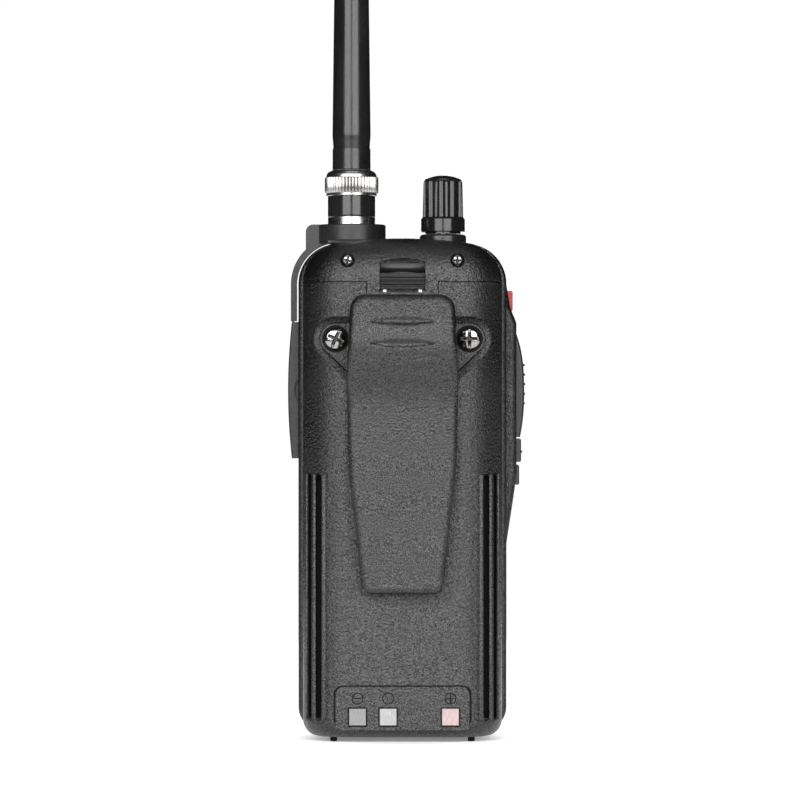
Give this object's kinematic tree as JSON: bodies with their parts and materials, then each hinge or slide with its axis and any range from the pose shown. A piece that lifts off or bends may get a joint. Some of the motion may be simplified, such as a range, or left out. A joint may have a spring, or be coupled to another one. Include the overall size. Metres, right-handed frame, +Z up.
{
  "type": "handheld two-way radio",
  "caption": "Black handheld two-way radio with clip-on battery pack, sprung belt clip, bayonet whip antenna, fluted volume knob and rubber jack cover.",
  "frame": {"origin": "on the standing surface, under the middle of the whole radio's outline", "axes": "+Z up along the antenna, the display faces -Y, the belt clip faces +Y, the antenna is on +X"},
  "size_m": [0.0652, 0.051, 0.3],
  "materials": {
    "case_plastic": "fine spark-eroded grain",
    "cover_plastic": "fine spark-eroded grain",
    "pack_plastic": "fine spark-eroded grain",
    "lid_plastic": "smooth",
    "clip_plastic": "fine spark-eroded grain",
    "latch_plastic": "satin",
    "knob_plastic": "smooth satin",
    "ring_plastic": "smooth satin",
    "jack_rubber": "soft satin",
    "key_rubber": "soft satin",
    "ptt_rubber": "soft satin",
    "alarm_red": "soft satin",
    "whip_rubber": "smooth satin",
    "sleeve_black": "black chrome satin",
    "nickel": "bright nickel",
    "screw_steel": "nickel plated",
    "pin_steel": "ground",
    "chassis_alloy": "die cast",
    "contact_plate": "plated, slightly worn",
    "contact_gold": "gold flash",
    "board_green": "solder mask",
    "shield_tin": "tin plated",
    "display_glass": "clear hard-coated window",
    "display_face": "reflective display",
    "component_black": "moulded",
    "mesh_black": "acoustic cloth",
    "mic_metal": "pressed can",
    "cell_wrap": "shrink sleeve",
    "contact_insulator": "white insulator",
    "led_lens": "clear tinted",
    "foot_rubber": "matt"
  },
  "bodies": {
    "radio_body": {"front_case": "case_plastic", "rear_chassis": "chassis_alloy", "chassis_screws": "screw_steel", "battery_springs": "contact_gold", "display_lens": "display_glass", "display_panel": "display_face", "main_board": "board_green", "shield_can": "shield_tin", "speaker": "component_black", "speaker_mesh": "mesh_black", "microphone": "mic_metal", "key_mat": "key_rubber", "volume_pot": "component_black", "knob_base_ring": "ring_plastic", "antenna_jack": "nickel", "antenna_collar": "jack_rubber", "accessory_jacks": "component_black", "side_switches": "component_black", "status_led": "led_lens", "case_feet": "foot_rubber", "top_cover": "cover_plastic", "cover_screws": "screw_steel", "latch_springs": "pin_steel"},
    "antenna": {"antenna_core": "contact_insulator", "antenna_boot": "whip_rubber", "antenna_whip": "whip_rubber"},
    "coupling": {"coupling_nut": "nickel", "bayonet_sleeve": "sleeve_black"},
    "volume_knob": {"knob_cap": "knob_plastic", "knob_shaft": "pin_steel"},
    "ptt": {"ptt_key": "ptt_rubber"},
    "alarm_button": {"alarm_key": "alarm_red"},
    "monitor_button": {"monitor_key": "ptt_rubber"},
    "lock_button": {"lock_key": "ptt_rubber"},
    "side_jack_cover": {"jack_cover": "jack_rubber"},
    "latch": {"latch_slider": "latch_plastic", "latch_prongs": "pin_steel"},
    "battery_pack": {"battery_case": "pack_plastic", "battery_lid": "lid_plastic", "battery_cells": "cell_wrap", "cell_cradle": "lid_plastic", "protection_board": "board_green", "charge_contacts": "contact_plate", "pack_terminals": "contact_gold", "clip_bracket": "clip_plastic", "bracket_screws": "screw_steel", "clip_pin": "pin_steel", "clip_spring": "pin_steel", "pack_feet": "foot_rubber"},
    "clip_lever": {"belt_clip": "clip_plastic"},
    "pad_1": {"front_key_1": "key_rubber"},
    "pad_2": {"front_key_2": "key_rubber"},
    "pad_3": {"front_key_3": "key_rubber"},
    "pad_4": {"front_key_4": "key_rubber"},
    "pad_5": {"front_key_5": "key_rubber"},
    "pad_6": {"front_key_6": "key_rubber"},
    "pad_7": {"front_key_7": "key_rubber"},
    "pad_8": {"front_key_8": "key_rubber"}
  },
  "joints": [
    {"name": "volume_turn", "type": "hinge", "parent": "radio_body", "child": "volume_knob", "pos_m": [-0.01115, -0.016, 0.138], "axis": [0, 0, -1], "range_deg": [0, 300]},
    {"name": "ptt_press", "type": "hinge", "parent": "radio_body", "child": "ptt", "pos_m": [-0.0291, -0.0165, 0.1105], "axis": [0, -1, 0], "range_deg": [0, 2], "stiffness_Nm_per_rad": 1.5, "springref_deg": -1.15},
    {"name": "antenna_lift", "type": "slide", "parent": "radio_body", "child": "antenna", "axis": [0, 0, 1], "range_m": [0, 0.03]},
    {"name": "coupling_turn", "type": "hinge", "parent": "antenna", "child": "coupling", "pos_m": [0.014, -0.016, 0.15], "axis": [0, 0, 1], "range_deg": [0, 90]},
    {"name": "jack_cover_open", "type": "hinge", "parent": "radio_body", "child": "side_jack_cover", "pos_m": [0.0304, -0.0165, 0.11375], "axis": [0, -1, 0], "range_deg": [0, 100]},
    {"name": "latch_slide", "type": "slide", "parent": "radio_body", "child": "latch", "axis": [0, 0, 1], "range_m": [0, 0.0024], "stiffness_N_per_m": 600, "springref_m": -0.002, "deforming": ["latch_springs"]},
    {"name": "battery_slide", "type": "slide", "parent": "radio_body", "child": "battery_pack", "axis": [0, 1, 0], "range_m": [0, 0.045]},
    {"name": "clip_pinch", "type": "hinge", "parent": "battery_pack", "child": "clip_lever", "pos_m": [0, 0.0156, 0.102], "axis": [1, 0, 0], "range_deg": [0, 18], "stiffness_Nm_per_rad": 0.8, "springref_deg": -17.19},
    {"name": "alarm_press", "type": "slide", "parent": "radio_body", "child": "alarm_button", "axis": [1, 0, 0], "range_m": [0, 0.0007], "stiffness_N_per_m": 1200, "springref_m": -0.0005},
    {"name": "monitor_press", "type": "slide", "parent": "radio_body", "child": "monitor_button", "axis": [1, 0, 0], "range_m": [0, 0.0007], "stiffness_N_per_m": 1200, "springref_m": -0.0005},
    {"name": "lock_press", "type": "slide", "parent": "radio_body", "child": "lock_button", "axis": [1, 0, 0], "range_m": [0, 0.0007], "stiffness_N_per_m": 1200, "springref_m": -0.0005},
    {"name": "pad_press_1", "type": "slide", "parent": "radio_body", "child": "pad_1", "axis": [0, 1, 0], "range_m": [0, 0.0006], "stiffness_N_per_m": 1200, "springref_m": -0.0005},
    {"name": "pad_press_2", "type": "slide", "parent": "radio_body", "child": "pad_2", "axis": [0, 1, 0], "range_m": [0, 0.0006], "stiffness_N_per_m": 1200, "springref_m": -0.0005},
    {"name": "pad_press_3", "type": "slide", "parent": "radio_body", "child": "pad_3", "axis": [0, 1, 0], "range_m": [0, 0.0006], "stiffness_N_per_m": 1200, "springref_m": -0.0005},
    {"name": "pad_press_4", "type": "slide", "parent": "radio_body", "child": "pad_4", "axis": [0, 1, 0], "range_m": [0, 0.0006], "stiffness_N_per_m": 1200, "springref_m": -0.0005},
    {"name": "pad_press_5", "type": "slide", "parent": "radio_body", "child": "pad_5", "axis": [0, 1, 0], "range_m": [0, 0.0006], "stiffness_N_per_m": 1200, "springref_m": -0.0005},
    {"name": "pad_press_6", "type": "slide", "parent": "radio_body", "child": "pad_6", "axis": [0, 1, 0], "range_m": [0, 0.0006], "stiffness_N_per_m": 1200, "springref_m": -0.0005},
    {"name": "pad_press_7", "type": "slide", "parent": "radio_body", "child": "pad_7", "axis": [0, 1, 0], "range_m": [0, 0.0006], "stiffness_N_per_m": 1200, "springref_m": -0.0005},
    {"name": "pad_press_8", "type": "slide", "parent": "radio_body", "child": "pad_8", "axis": [0, 1, 0], "range_m": [0, 0.0006], "stiffness_N_per_m": 1200, "springref_m": -0.0005}
  ]
}
